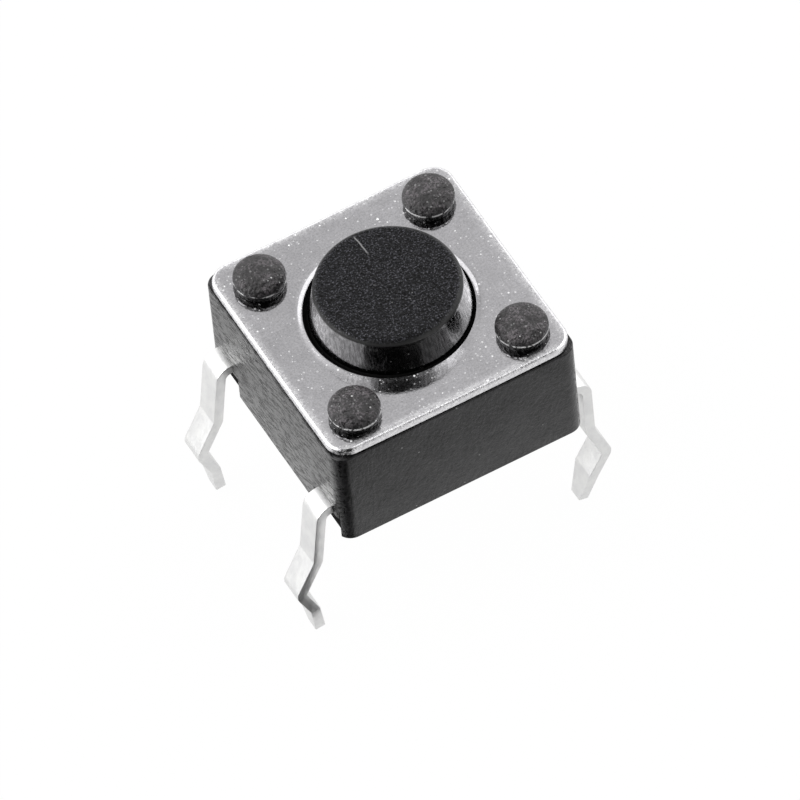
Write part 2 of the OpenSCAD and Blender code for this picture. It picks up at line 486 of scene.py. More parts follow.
share = add(tree, "ShaderNodeMapRange", {
    "Value": parts["Z"],
    "From Min": given["Tip Height"],
    "From Max": math_node(tree, "ADD", given["Tip Height"], given["Taper"]),
    "To Min": given["Tip Share"],
    "To Max": 1.0,
})
aside = math_node(tree, "SUBTRACT", parts["Y"], given["Middle"])
narrowed = math_node(tree, "MULTIPLY_ADD", aside, share, given["Middle"])
moved = add(tree, "ShaderNodeCombineXYZ", {0: parts["X"], 1: narrowed, 2: parts["Z"]})
tapered = add(tree, "GeometryNodeSetPosition", {
    "Geometry": swept,
    "Position": moved,
})
plug(end.inputs[0], tapered)
strip_tree = tree
print("tree of a kinked strip:", len(tree.nodes), "nodes")

# %% [markdown]
# The part of each strip inside the moulding is flat. Two arms run under the rim of the contact dome on
# one strip, and a tongue with a round pad reaches its middle on the other, so pressing the dome joins
# the two. They are drawn as plates and turned contacts and joined to the strip with a Boolean. They
# are a hair thinner than the strip, because a Boolean is at its best without shared flat faces.

# %% Contacts inside the moulding
THINNER = 0.004
PLATE_EDGE_R = 0.015


def contact(at, r, low, high, edge=0.03):
    """A raised round contact with a rolled edge."""
    profile = [(0, low), (r, low)] + arc(r - edge, high - edge, edge, 0, 90, 5) + [(0, high)]
    return turned(profile, 48, at)


rim_contact_y = math.sqrt(DOME_R**2 - ARM_X**2)
rim_contacts = [(x * ARM_X, y * rim_contact_y) for x in (-1, 1) for y in (-1, 1)]
middle_z = floor_z + 0.04
arms_span = (-LEG_PITCH / 2, rim_contact_y + RIM_CONTACT_R)
level_span = (strip_low + THINNER, strip_top - THINNER)
print(f"rim contacts at y {rim_contact_y:.3f}, middle contact up to {middle_z:.2f}")


# %% Both strips
def make_strip(name, y, plates, contacts):
    piece = strip_line(name, y)
    run_tree(piece, strip_tree, {"Middle": y})
    for span_x, span_y in plates:
        carve(piece, "plate", plate(span_x, span_y, level_span, PLATE_EDGE_R), "UNION")
    for at, r, high in contacts:
        carve(piece, "contact", contact(at, r, strip_low + 2 * THINNER, high), "UNION")
    return piece


outer_strip = make_strip(
    "terminal_outer",
    -LEG_PITCH / 2,
    [((side * ARM_X - ARM_W / 2, side * ARM_X + ARM_W / 2), arms_span) for side in (-1, 1)],
    [(at, RIM_CONTACT_R, floor_z) for at in rim_contacts],
)
centre_strip = make_strip(
    "terminal_centre",
    LEG_PITCH / 2,
    [((-ARM_W / 2, ARM_W / 2), (0, LEG_PITCH / 2))],
    [((0, 0), PAD_R, strip_top - THINNER / 2), ((0, 0), MIDDLE_CONTACT_R, middle_z)],
)
for strip in (outer_strip, centre_strip):
    to_metres(strip)

# %% [markdown]
# ## The moulding
#
# One block of black plastic holds everything. It is skinned from rings: the outline of a square with
# round corners, drawn in a little at the top and bottom for the mould's small edge radii. The
# underside's edge wanders by a hundredth of a millimetre, as flash on a moulded edge does. The pins of
# the stakes are joined to it, and the cavity and the strips' slots are cut out. The top half of the
# mould sat a few hundredths aside, so each stake stands a little off its true place.

# %% Places of the stakes
DISH = 0.031
STRAYS = {(-1, 1): (0.06, 0.0), (1, 1): (0.06, -0.01), (1, -1): (0.03, 0.01), (-1, -1): (0.06, -0.03)}

foot_r = HOLE_R + HOLE_LIP_W
stake_points = [(x * STAKE_AT + dx, y * STAKE_AT + dy) for (x, y), (dx, dy) in STRAYS.items()]


def dished(x, y):
    """How far the cover's sheet rises above its height at the middle hole."""
    return DISH * max(0.0, math.hypot(x, y) - foot_r)


print("stakes stand at", stake_points)

# %% Block of the moulding
FLASH = 0.01
FLASH_SHARES = (1, 1, 0.8, 0.5, 0.2)
PIN_TOP = plate_z + 0.06
PIN_DEPTH = 0.3


def rolled_edge(r, steps):
    """Insets and heights of a rolled edge, from its lowest ring to its outermost."""
    turns = [math.pi / 2 * i / steps for i in range(steps + 1)]
    return [(r * (1 - math.sin(a)), r * (1 - math.cos(a))) for a in turns]


def wander(point):
    """Slow unevenness along an edge, between -1 and 1."""
    return noise.noise(Vector(point) * 1.7) + 0.5 * noise.noise(Vector(point) * 6.1)


rows = rolled_edge(LOW_EDGE_R, 5)
rows += [(inset, seat_z - z) for inset, z in reversed(rolled_edge(TOP_EDGE_R, 5))]
rings = [rounded_square(body_half - inset, CORNER_R - inset, z) for inset, z in rows]
for ring, share in zip(rings, FLASH_SHARES):
    ring[:] = [(x, y, z + FLASH * share * max(0, wander((x, y, 0)))) for x, y, z in ring]
moulding = new_object("moulding", skin(rings))
for at in stake_points:
    carve(moulding, "pin", contact(at, STAKE_R, seat_z - PIN_DEPTH, PIN_TOP), "UNION")
print("block of the moulding:", len(moulding.data.polygons), "faces")

# %% Cavity, slots and reliefs
SLOT_GAP = 0.012

carve(moulding, "cavity", turned([
    (0, floor_z),
    (DOME_R + DOME_GAP, floor_z),
    (DOME_R + DOME_GAP, step_z),
    (flange_r + FLANGE_GAP, step_z),
    (flange_r + FLANGE_GAP, seat_z + 1),
    (0, seat_z + 1),
], 128))

slot_z = (strip_low - SLOT_GAP, strip_top + SLOT_GAP)
for y in (-LEG_PITCH / 2, LEG_PITCH / 2):
    half = LEG_W / 2 + SLOT_GAP
    carve(moulding, "slot", plate((-body_half - 1, body_half + 1), (y - half, y + half), slot_z))
    for side in (-1, 1):
        span = sorted((side * (body_half - RELIEF_D), side * (body_half + 1)))
        carve(moulding, "relief", plate(span, (y - RELIEF_W / 2, y + RELIEF_W / 2), (-1, strip_low)))
print("with its cavity and slots:", len(moulding.data.polygons), "faces")

# %% Channels of the arms and the tongue
arm_half = ARM_W / 2 + SLOT_GAP
channels = [((x * ARM_X - arm_half, x * ARM_X + arm_half), arms_span) for x in (-1, 1)]
channels.append(((-arm_half, arm_half), (0, LEG_PITCH / 2)))
for span_x, span_y in channels:
    carve(moulding, "channel", plate(span_x, span_y, slot_z))
well_top = floor_z + 0.2
for at, r in [(at, RIM_CONTACT_R + SLOT_GAP) for at in rim_contacts] + [((0, 0), PAD_R + SLOT_GAP)]:
    profile = [(0, strip_low), (r, strip_low), (r, well_top), (0, well_top)]
    carve(moulding, "well", turned(profile, 48, at))
to_metres(moulding)

# %% [markdown]
# ## The formed heads
#
# Four stakes of the moulding come up through the cover, and a hot tool spreads their ends into low
# round heads. The tool leaves them rough and a little uneven. One tree makes all four: a short cone
# with rings on its top, lifted into a full dome, is placed on four points with a small random turn,
# size and tilt, and noise then dents the surface, so no two are alike.

# %% Tree of the formed heads
tree, start, end = new_tree("formed_heads", "GeometryNodeTree", {
    "Geometry": None,
    "Seat Radius": HEAD_SEAT_R,
    "Head Radius": HEAD_R,
    "Rim Height": HEAD_RIM_H,
    "Dome Height": 0.31,
    "Fullness": HEAD_FULLNESS,
    "Dent": 0.016,
    "Seed": 4,
}, {"Geometry": None})
given = start.outputs
cone = add(tree, "GeometryNodeMeshCone", {
    "Vertices": 120,
    "Side Segments": 6,
    "Fill Segments": 26,
    "Radius Top": given["Head Radius"],
    "Radius Bottom": given["Seat Radius"],
    "Depth": given["Rim Height"],
}, fill_type="NGON")
place = add(tree, "GeometryNodeInputPosition")
level_place = levelled(tree, place)
reach = vector_node(tree, "LENGTH", level_place)
angle = add(tree, "ShaderNodeMapRange", {
    "Value": reach,
    "From Max": given["Head Radius"],
    "To Max": math.pi / 2,
})
power = math_node(tree, "DIVIDE", 2.0, given["Fullness"])
level_share = math_node(tree, "MAXIMUM", math_node(tree, "COSINE", angle), 0.0)
aside = math_node(tree, "POWER", math_node(tree, "SINE", angle), power)
lift = math_node(tree, "POWER", level_share, power)
ring_r = times(tree, aside, given["Head Radius"])
ring = vector_node(tree, "MULTIPLY", vector_node(tree, "NORMALIZE", level_place), ring_r)
dome_lift = math_node(tree, "MULTIPLY_ADD", lift, given["Dome Height"], given["Rim Height"])
height = add(tree, "ShaderNodeCombineXYZ", {"Z": dome_lift})
on_top = add(tree, "FunctionNodeCompare", {
    0: split(tree, place)["Z"],
    1: math_node(tree, "SUBTRACT", given["Rim Height"], 1e-4),
}, data_type="FLOAT", operation="GREATER_EQUAL")
lifted = add(tree, "GeometryNodeSetPosition", {
    "Geometry": cone.outputs["Mesh"],
    "Selection": on_top,
    "Position": vector_node(tree, "ADD", ring, height),
})
print("head before it is placed:", len(tree.nodes), "nodes")

# %% Placing and denting the heads
HEAD_TILT = 0.03
HEAD_GROWTH = 1.02

turn = add(tree, "FunctionNodeRandomValue", {
    0: (-HEAD_TILT, -HEAD_TILT, 0.0),
    1: (HEAD_TILT, HEAD_TILT, 2 * math.pi),
    "Seed": given["Seed"],
}, data_type="FLOAT_VECTOR")
size = add(tree, "FunctionNodeRandomValue", {
    2: 1.0,
    3: HEAD_GROWTH,
    "Seed": given["Seed"],
}, data_type="FLOAT")
placed = add(tree, "GeometryNodeInstanceOnPoints", {
    "Points": given["Geometry"],
    "Instance": lifted,
    "Rotation": turn,
    "Scale": size.outputs[1],
})
real = add(tree, "GeometryNodeRealizeInstances", {0: placed})
where = add(tree, "GeometryNodeInputPosition")
out = add(tree, "GeometryNodeInputNormal")
broad, fine = (
    add(tree, "ShaderNodeTexNoise", {"Vector": where, "Scale": scale, "Detail": detail})
    for scale, detail in ((3.2, 2.0), (15.0, 3.0))
)
both = math_node(tree, "MULTIPLY_ADD", fine, 0.55, broad)
depth = times(tree, math_node(tree, "SUBTRACT", both, 0.775), given["Dent"])
dented = add(tree, "GeometryNodeSetPosition", {
    "Geometry": real,
    "Offset": vector_node(tree, "MULTIPLY", out, depth),
})
plug(end.inputs[0], dented)

places = bpy.data.meshes.new("stake_heads")
places.from_pydata([(x, y, plate_z + dished(x, y)) for x, y in stake_points], [], [])
stake_heads = in_scene("stake_heads", places)
sheet_rise = dished(*stake_points[0])
run_tree(stake_heads, tree, {
    "Rim Height": HEAD_RIM_H,
    "Dome Height": head_z - plate_z - sheet_rise - HEAD_RIM_H,
})
to_metres(stake_heads)

# %% [markdown]
# ## The cover
#
# The cover is blanked from bright sheet metal. The press rolls its outer edge over and raises a fine
# lip round the middle hole, and the staking pulls the middle down, so the sheet is dished by a few
# hundredths of a millimetre: too little to see as a shape, but its mirror images stretch with it and a
# dark gap opens under its edge. The sheet is skinned from rings that blend from the round hole to the
# square outline, because even rings keep such a slight curve clean. Booleans then cut the stake holes.

# %% Sheet of the cover
COVER_RINGS = 18
PER_SIDE = 40
LIP_SHAPE = (
    (0, 0.95), (0.03, 1), (0.12, 0.97), (0.25, 0.85),
    (0.4, 0.67), (0.55, 0.48), (0.7, 0.3), (0.85, 0.12),
)
LIP_LEAST = 0.04
LIP_FADE_FROM = -0.75
LIP_FADE_OVER = 0.65


def blended(share, z):
    """A ring between the middle hole's lip and the flat's outline."""
    ring = rounded_square(cover_half - COVER_EDGE_R, COVER_CORNER_R - COVER_EDGE_R, z, per_side=PER_SIDE)
    points = []
    for x, y, z in ring:
        reach = math.hypot(x, y)
        scale = (foot_r + (reach - foot_r) * share) / reach
        points.append((x * scale, y * scale, z))
    return points


def lip_share(x, y):
    """How much of the lip is left: all of it at the back and the sides, little at the front."""
    share = min(1, max(0, (y / math.hypot(x, y) - LIP_FADE_FROM) / LIP_FADE_OVER))
    return LIP_LEAST + (1 - LIP_LEAST) * share * share * (3 - 2 * share)


def inner_ring(r, z):
    """The ring of the blend's directions at the middle hole."""
    return [(x * r / math.hypot(x, y), y * r / math.hypot(x, y), z) for x, y, z in blended(0, z)]


flat = [i / COVER_RINGS for i in range(COVER_RINGS + 1)]
rings = [blended(share, seat_z) for share in reversed(flat)]
rings += [inner_ring(HOLE_R, seat_z)]
for out, high in LIP_SHAPE:
    ring = inner_ring(HOLE_R + HOLE_LIP_W * out, plate_z)
    rings.append([(x, y, z + HOLE_LIP_H * high * lip_share(x, y)) for x, y, z in ring])
rings += [blended(share, plate_z) for share in flat]
rows = [(inset, plate_z - z) for inset, z in rolled_edge(COVER_EDGE_R, 8)[1:]] + [(0, seat_z)]
for inset, z in rows:
    rings.append(rounded_square(cover_half - inset, COVER_CORNER_R - inset, z, per_side=PER_SIDE))
rings = [[(x, y, z + dished(x, y)) for x, y, z in ring] for ring in rings + rings[:1]]
cover = new_object("cover_plate", skin(rings, capped=False))
print(f"sheet of the cover: {len(cover.data.polygons)} faces, dished by {dished(cover_half, 0):.3f}")

# %% Stake holes
hole_r = STAKE_R + STAKE_GAP
for at in stake_points:
    profile = [(0, seat_z - 1), (hole_r, seat_z - 1), (hole_r, plate_z + 1), (0, plate_z + 1)]
    carve(cover, "stake_hole", turned(profile, 72, at))
to_metres(cover)

# %% [markdown]
# ## The button
#
# The button is a turned shape: a slightly tapered cap with a soft upper edge, a flange that the cover
# holds in, and a small boss that presses the dome. Its grained top carries one light scratch.

# %% Button
BUTTON_SEGMENTS = 160
EDGE_STEPS = 14
TOP_RINGS = 24
BOSS_EDGE = 0.05
FLANGE_EDGE = 0.03
FOOT_EDGE = 0.05
ASIDE_LOW = Vector((0.035, 0, 0))
ASIDE_HIGH = Vector((0.02, 0, 0))

flange_top = seat_z - FLANGE_PLAY
flange_low = flange_top - FLANGE_T
boss_z = plunger_low.z
shoulder = arc(BUTTON_TOP_R - BUTTON_EDGE_R, button_z - BUTTON_EDGE_R, BUTTON_EDGE_R, 0, 90, EDGE_STEPS)
flat_r = BUTTON_TOP_R - BUTTON_EDGE_R
profile = [(0, boss_z), (BOSS_R - BOSS_EDGE, boss_z), (BOSS_R, boss_z + BOSS_EDGE), (BOSS_R, flange_low)]
profile += [(flange_r - FLANGE_EDGE, flange_low), (flange_r, flange_low + FLANGE_EDGE)]
profile += [(flange_r, flange_top - FLANGE_EDGE), (flange_r - FLANGE_EDGE, flange_top)]
for out, high in ((1, 0), (0.3, 0.3), (0, 1)):
    profile.append((BUTTON_R + FOOT_EDGE * out, flange_top + FOOT_EDGE * high))
wall_low, wall_high = Vector((BUTTON_R, plate_z)), Vector(shoulder[0])
profile += [tuple(wall_low.lerp(wall_high, i / 10)) for i in range(10)]
profile += shoulder
profile += [(flat_r * (1 - i / TOP_RINGS), button_z) for i in range(1, TOP_RINGS)] + [(0, button_z)]
bm = turned(profile, BUTTON_SEGMENTS)
for vert in bm.verts:
    free = min(1, max(0, (vert.co.z - flange_top) / (plate_z - flange_top)))
    risen = min(1, max(0, (vert.co.z - plate_z) / (button_z - plate_z)))
    vert.co += free * ASIDE_LOW.lerp(ASIDE_HIGH, risen)
button = new_object("button_cap", bm)
to_metres(button)

# %% [markdown]
# ## The contact dome
#
# A thin spring disc lies under the button. Pressing it snaps it nearly flat, which gives the click.
# It is the space between two arcs turned about Z.

# %% Contact dome
dome_rise = dome_high.z - floor_z - DOME_T
ball_r = (DOME_R**2 + dome_rise**2) / (2 * dome_rise)
ball_z = floor_z + dome_rise - ball_r
rim_angle = math.degrees(math.asin(DOME_R / ball_r))
top_angle = math.degrees(math.asin(DOME_R / (ball_r + DOME_T)))
under = arc(0, ball_z, ball_r, 90, 90 - rim_angle, 24)
over = arc(0, ball_z, ball_r + DOME_T, 90 - top_angle, 90, 24)
profile = [(0, under[0][1])] + under[1:] + over[:-1] + [(0, over[-1][1])]
dome = new_object("contact_spring", turned(profile, 128))
to_metres(dome)

# %% [markdown]
# ## Materials
#
# Every material reads Object coordinates scaled to millimetres, so a pattern's scale is a real one and
# it never slides. Effects that several finishes share are node groups, built once: a fine grain, specks
# of dust, streaks that run one way, and a band along the edge of a square plate.


# %% Material helpers
def ramp(tree, value, low, high, to_low=0.0, to_high=1.0):
    """Value mapped smoothly from one range to another and held at its ends."""
    return add(tree, "ShaderNodeMapRange", {
        "Value": value,
        "From Min": low,
        "From Max": high,
        "To Min": to_low,
        "To Max": to_high,
    }, interpolation_type="SMOOTHSTEP")


def mix_colour(tree, share, first, second, blend="MIX"):
    links = {0: share, 6: first, 7: second}
    return add(tree, "ShaderNodeMix", links, data_type="RGBA", blend_type=blend).outputs[2]


def layered(tree, colour, *layers):
    """A colour with others laid over it. Each layer is a share and a colour."""
    for share, over in layers:
        colour = mix_colour(tree, share, colour, over)
    return colour


def mix_value(tree, share, first, second):
    return add(tree, "ShaderNodeMix", {0: share, 2: first, 3: second}, data_type="FLOAT")


def noise_of(tree, vector, scale, detail=2.0, roughness=0.5):
    links = {"Vector": vector, "Scale": scale, "Detail": detail, "Roughness": roughness}
    return add(tree, "ShaderNodeTexNoise", links)


def from_axis(tree, place):
    """The distance from the switch's axis."""
    return vector_node(tree, "LENGTH", levelled(tree, place))


def around(tree, way, middle, outer, inner, most=1.0):
    """A soft spot round a middle direction: nothing beyond the outer angle, most within the inner."""
    nearness = vector_node(tree, "DOT_PRODUCT", way, middle)
    return ramp(tree, nearness, math.cos(math.radians(outer)), math.cos(math.radians(inner)), 0.0, most)


def grey(value, tint=(1, 1, 1)):
    return (value * tint[0], value * tint[1], value * tint[2], 1)


# %% Groups of the fine grain and the dust specks
ORIGIN = (0.0, 0.0, 0.0)

grain, start, end = new_tree("fine_grain", "ShaderNodeTree", {
    "Vector": ORIGIN,
    "Scale": 20.0,
    "Pits": 0.5,
}, {"Height": 0.0})
given = start.outputs
soft_grain = noise_of(grain, given["Vector"], given["Scale"], 3.0, 0.6)
pit_cells = add(grain, "ShaderNodeTexVoronoi", {
    "Vector": given["Vector"],
    "Scale": given["Scale"],
}, feature="SMOOTH_F1")
pits = times(grain, pit_cells.outputs["Distance"], given["Pits"])
plug(end.inputs["Height"], math_node(grain, "SUBTRACT", soft_grain, pits))

dust, start, end = new_tree("dust_specks", "ShaderNodeTree", {
    "Vector": ORIGIN,
    "Scale": 8.0,
    "Size": 0.3,
    "Share": 0.2,
}, {"Mask": 0.0})
given = start.outputs
cells = add(dust, "ShaderNodeTexVoronoi", {"Vector": given["Vector"], "Scale": given["Scale"]})
chance = add(dust, "ShaderNodeSeparateColor", {0: cells.outputs["Color"]}).outputs
present = math_node(dust, "GREATER_THAN", chance[0], math_node(dust, "SUBTRACT", 1.0, given["Share"]))
near = math_node(dust, "DIVIDE", cells.outputs["Distance"], times(dust, chance[1], given["Size"]))
plug(end.inputs["Mask"], times(dust, ramp(dust, near, 1.0, 0.55), present))

# %% Groups of the streaks and the edge band
streaks, start, end = new_tree("streaks", "ShaderNodeTree", {
    "Vector": ORIGIN,
    "Stretch": (1.0, 1.0, 1.0),
    "Turn": ORIGIN,
    "Sharpness": 0.5,
}, {"Mask": 0.0})
given = start.outputs
turned_place = add(streaks, "ShaderNodeVectorRotate", {
    "Vector": given["Vector"],
    "Rotation": given["Turn"],
}, rotation_type="EULER_XYZ")
long_place = vector_node(streaks, "MULTIPLY", turned_place, given["Stretch"])
line_noise = noise_of(streaks, long_place, 1.0, 4.0, 0.6)
low_end = times(streaks, given["Sharpness"], 0.5)
high_end = math_node(streaks, "SUBTRACT", 1.0, low_end)
plug(end.inputs["Mask"], ramp(streaks, line_noise, low_end, high_end))

edge_band, start, end = new_tree("edge_band", "ShaderNodeTree", {
    "Vector": ORIGIN,
    "Half Width": 3.0,
    "Band": 0.2,
}, {"Mask": 0.0})
given = start.outputs
sides = split(edge_band, vector_node(edge_band, "ABSOLUTE", given["Vector"]))
widest = math_node(edge_band, "MAXIMUM", sides["X"], sides["Y"])
inside = math_node(edge_band, "SUBTRACT", given["Half Width"], given["Band"])
plug(end.inputs["Mask"], ramp(edge_band, widest, inside, given["Half Width"]))
print("shared groups:", [tree.name for tree in (grain, dust, streaks, edge_band)])


# %% A material to start from
def new_material(name):
    """A material with its nodes, the shader and Object coordinates in millimetres."""
    made = bpy.data.materials.new(name)
    made.use_nodes = True
    tree = made.node_tree
    shader = tree.nodes["Principled BSDF"]
    where = add(tree, "ShaderNodeTexCoord")
    scaled = add(tree, "ShaderNodeMapping", {"Vector": where.outputs["Object"], "Scale": (1 / MM,) * 3})
    return made, tree, shader, scaled


def grouped(tree, group, place, **values):
    """A group placed in a material. Names use _ for a space."""
    links = {key.replace("_", " "): value for key, value in values.items()}
    return add(tree, "ShaderNodeGroup", {"Vector": place, **links}, node_tree=group)


def bump(shader, *layers):
    """Bump nodes in a row. Each layer is a height and its depth in millimetres."""
    normal = {}
    for height, depth in layers:
        links = {"Height": height, "Distance": depth * MM, **normal}
        normal = {"Normal": add(shader.id_data, "ShaderNodeBump", links)}
    feed(shader, **normal)


def feed(shader, **values):
    """Plugs the shader's sockets. Names use _ for a space."""
    for key, value in values.items():
        plug(shader.inputs[key.replace("_", " ")], value)


# %% [markdown]
# ### Black moulding
#
# The moulding is glass-filled nylon. Its colour is almost black, so what the eye sees is its sheen: at
# the low angle of the side walls the gloss grows strong, and fibres near the skin break it into slanting
# streaks. They go into the weight of the coat, the roughness and the bump, and hardly into the colour.
# The two walls without legs are smoother, and the reliefs behind the legs are made dull and lose their
# coat: painted shade that keeps them dark.

# %% Black moulding
RELIEF_MARGIN = 0.01
WALL_MARGIN = 0.03

black_moulding, tree, shader, place = new_material("black_moulding")
fibres = grouped(tree, streaks, place, Stretch=(14.0, 2.6, 14.0), Turn=(0.3, 0.0, 0.0), Sharpness=0.84)
cross_fibres = grouped(tree, streaks, place, Stretch=(9.0, 9.0, 2.2), Turn=(0.5, 0.0, 0.0), Sharpness=0.8)
cloud = noise_of(tree, place, 1.3, 3.0)
skin_grain = grouped(tree, grain, place, Scale=22.0, Pits=0.5)
specks = grouped(tree, dust, place, Scale=5.0, Size=0.13, Share=0.14)
plain = mix_colour(tree, fibres, grey(0.001, (1, 0.92, 1.06)), grey(0.012, (1, 0.95, 1.06)))
shiny = math_node(tree, "MULTIPLY_ADD", cross_fibres, 0.3, fibres, clamp=True)
parts = split(tree, vector_node(tree, "ABSOLUTE", place))
legless = ramp(tree, parts["Y"], body_half - 0.1, body_half - 0.04)
shiny = mix_value(tree, legless, shiny, ramp(tree, cloud, 0.3, 0.7, 0.32, 0.46))
aside = math_node(tree, "ABSOLUTE", math_node(tree, "SUBTRACT", parts["Y"], LEG_PITCH / 2))
# Painted shade: inside the reliefs behind the legs the coat is taken away and the roughness raised, so
# they read dark.
relief_shade = times(
    tree,
    math_node(tree, "LESS_THAN", aside, RELIEF_W / 2 + RELIEF_MARGIN),
    math_node(tree, "LESS_THAN", split(tree, place)["Z"], strip_top),
    math_node(tree, "LESS_THAN", parts["X"], body_half - WALL_MARGIN),
    math_node(tree, "GREATER_THAN", parts["X"], body_half - RELIEF_D - RELIEF_MARGIN),
)
wall_rough = mix_value(tree, legless, ramp(tree, fibres, 0.0, 1.0, 0.26, 0.36), 0.34)
fibre_depth = times(tree, fibres, ramp(tree, legless, 0.0, 1.0, 1.0, 0.2))
feed(
    shader,
    Base_Color=mix_colour(tree, times(tree, specks, 0.7), plain, grey(0.3)),
    Roughness=mix_value(tree, relief_shade, wall_rough, 0.9),
    IOR=1.3,
    Coat_Weight=math_node(tree, "SUBTRACT", shiny, relief_shade, clamp=True),
    Coat_IOR=1.45,
    Coat_Roughness=0.28,
)
bump(shader, (cloud, 0.02), (fibre_depth, 0.01), (cross_fibres, 0.007), (skin_grain, 0.007))

# %% [markdown]
# ### Formed heads
#
# The hot tool leaves the heads rougher and greyer than the moulding, with pale crumbs. A few pale
# glints on them are painted highlights, and so is the broken pale line along the rim. The lower sides
# are painted darker than the tops as shade, and everything below the rim is painted black as the
# shade under it.

# %% Formed heads
formed_plastic, tree, shader, place = new_material("formed_plastic")
tool_grain = grouped(tree, grain, place, Scale=12.0, Pits=0.9)
crumbs = grouped(tree, dust, place, Scale=15.0, Size=0.5, Share=0.4)
# Painted highlights: pale glint dots on the heads above the rim.
glint_highlights = grouped(tree, dust, place, Scale=9.0, Size=0.26, Share=0.2)
patches = noise_of(tree, place, 4.0, 4.0, 0.65)
fine_patches = noise_of(tree, place, 21.0, 2.0, 0.7)
broad_tone = ramp(tree, patches, 0.4, 0.6, 0.1, 1.1)
tone_share = times(tree, broad_tone, ramp(tree, fine_patches, 0.42, 0.6))
parts = split(tree, place)
rim_z = plate_z + sheet_rise + HEAD_RIM_H
# Painted shade: the heads grow darker from the top down towards the rim.
on_top = ramp(tree, parts["Z"], rim_z + 0.04, head_z - 0.1, 0.25, 1.0)
ragged = noise_of(tree, place, 6.0, 3.0, 0.6)
# Painted highlight: a broken pale line along the rim of each head.
rim_highlight = math_node(tree, "ABSOLUTE", math_node(tree, "SUBTRACT", parts["Z"], rim_z + 0.012))
rim_highlight = times(tree, ramp(tree, rim_highlight, 0.034, 0.02), ramp(tree, ragged, 0.44, 0.5))
# Painted shade: below the rim the heads are black and, as a black metal, reflect almost nothing, standing
# in for the shade under the rim.
above_rim = ramp(tree, parts["Z"], rim_z - 0.02, rim_z)
base_tone = layered(
    tree,
    grey(0.004, (1.1, 0.9, 1.02)),
    (tone_share, grey(0.088, (1.06, 0.94, 1.02))),
    (times(tree, crumbs, 0.7), grey(0.2)),
)
base_tone = mix_colour(tree, on_top, grey(0.002), base_tone)
base_tone = mix_colour(tree, rim_highlight, base_tone, grey(0.55))
base_tone = mix_colour(tree, above_rim, grey(0.001), base_tone)
feed(
    shader,
    Base_Color=mix_colour(tree, times(tree, glint_highlights, above_rim), base_tone, grey(0.45)),
    Metallic=math_node(tree, "SUBTRACT", 1.0, above_rim),
    Roughness=ramp(tree, fine_patches, 0.35, 0.65, 0.35, 0.6),
    IOR=1.5,
)
bump(shader, (patches, 0.03), (tool_grain, 0.04))

# %% [markdown]
# ### Button
#
# The top of the button has a fine spark-eroded grain, its rolled edge is smooth, and its side has the
# upright drag marks of the mould, which comb the cover's mirror image. They are mostly in the weight of
# the coat. The height and the distance from the axis tell the three apart, and below the cover all is
# dull. One scratch runs from the back towards the middle of the top.

# %% Zones of the button
button_plastic, tree, shader, place = new_material("button_plastic")
parts = split(tree, place)
reach = from_axis(tree, place)
uneven = noise_of(tree, place, 9.0, 3.0, 0.7)
ragged_reach = math_node(tree, "MULTIPLY_ADD", uneven, 0.09, reach)
top = times(
    tree,
    ramp(tree, ragged_reach, flat_r + 0.21, flat_r + 0.1),
    ramp(tree, parts["Z"], button_z - 0.1, button_z - 0.04),
)
side = ramp(tree, parts["Z"], button_z - 0.09, button_z - 0.17)

# %% Scratch on the button
SCRATCH_FROM = Vector((0.0, 1.5, 0))
SCRATCH_TO = Vector((0.05, 0.82, 0))
along = (SCRATCH_TO - SCRATCH_FROM).normalized()
across = Vector((-along.y, along.x, 0))
wobble = vector_node(tree, "MULTIPLY", (0.04, 0.04, 0), noise_of(tree, place, 5.0))
offset = vector_node(tree, "SUBTRACT", vector_node(tree, "SUBTRACT", place, wobble), SCRATCH_FROM)
run = vector_node(tree, "DOT_PRODUCT", offset, along)
beside = vector_node(tree, "DOT_PRODUCT", offset, across)
width = ramp(tree, math_node(tree, "ABSOLUTE", beside), 0.022, 0.008)
length = (SCRATCH_TO - SCRATCH_FROM).length
ends = times(tree, ramp(tree, run, 0.0, 0.08), ramp(tree, run, length, length - 0.25))
scratch = times(tree, width, ends, top)
print(f"scratch {length:.2f} mm long")

# %% Button finish
spark = grouped(tree, grain, place, Scale=17.0, Pits=0.9)
spark_tone = noise_of(tree, place, 24.0, 2.0, 0.75)
threads = grouped(tree, streaks, place, Stretch=(9.0, 26.0, 9.0), Turn=(0.0, 0.0, 0.8), Sharpness=0.8)
drag = grouped(tree, streaks, place, Stretch=(20.0, 20.0, 3.4), Turn=(0.06, 0.1, 0.0), Sharpness=0.7)
specks = grouped(tree, dust, place, Scale=8.0, Size=0.22, Share=0.3)
sparks = ramp(tree, spark_tone, 0.53, 0.65)
bright_share = math_node(tree, "MAXIMUM", sparks, times(tree, threads, 0.12))
top_tone = mix_colour(tree, bright_share, grey(0.0), grey(0.068, (1, 1, 1.16)))
tone = layered(
    tree,
    grey(0.02),
    (side, grey(0.0005)),
    (top, top_tone),
    (times(tree, scratch, 0.7), grey(0.3)),
    (times(tree, specks, 0.3), grey(0.3)),
)
above = ramp(tree, parts["Z"], plate_z - 0.04, plate_z - 0.01)
gloss = times(
    tree,
    ramp(tree, drag, 0, 1, 0.35, 1.0),
    mix_value(tree, side, 0.2, 1.0),
    math_node(tree, "SUBTRACT", above, top, clamp=True),
)
smooth_side = mix_value(tree, above, 0.8, ramp(tree, side, 0, 1, 0.5, 0.12))
feed(
    shader,
    Base_Color=tone,
    Metallic=times(tree, top, 0.6),
    Roughness=mix_value(tree, top, smooth_side, 0.34),
    IOR=1.33,
    Coat_Weight=gloss,
    Coat_IOR=1.7,
    Coat_Roughness=0.1,
)
drag_depth = times(tree, math_node(tree, "MULTIPLY_ADD", uneven, 1.2, drag), side)
grain_depth = times(tree, spark, ramp(tree, top, 0, 1, 0.1, 1.0))
bump(shader, (drag_depth, 0.004), (grain_depth, 0.02))
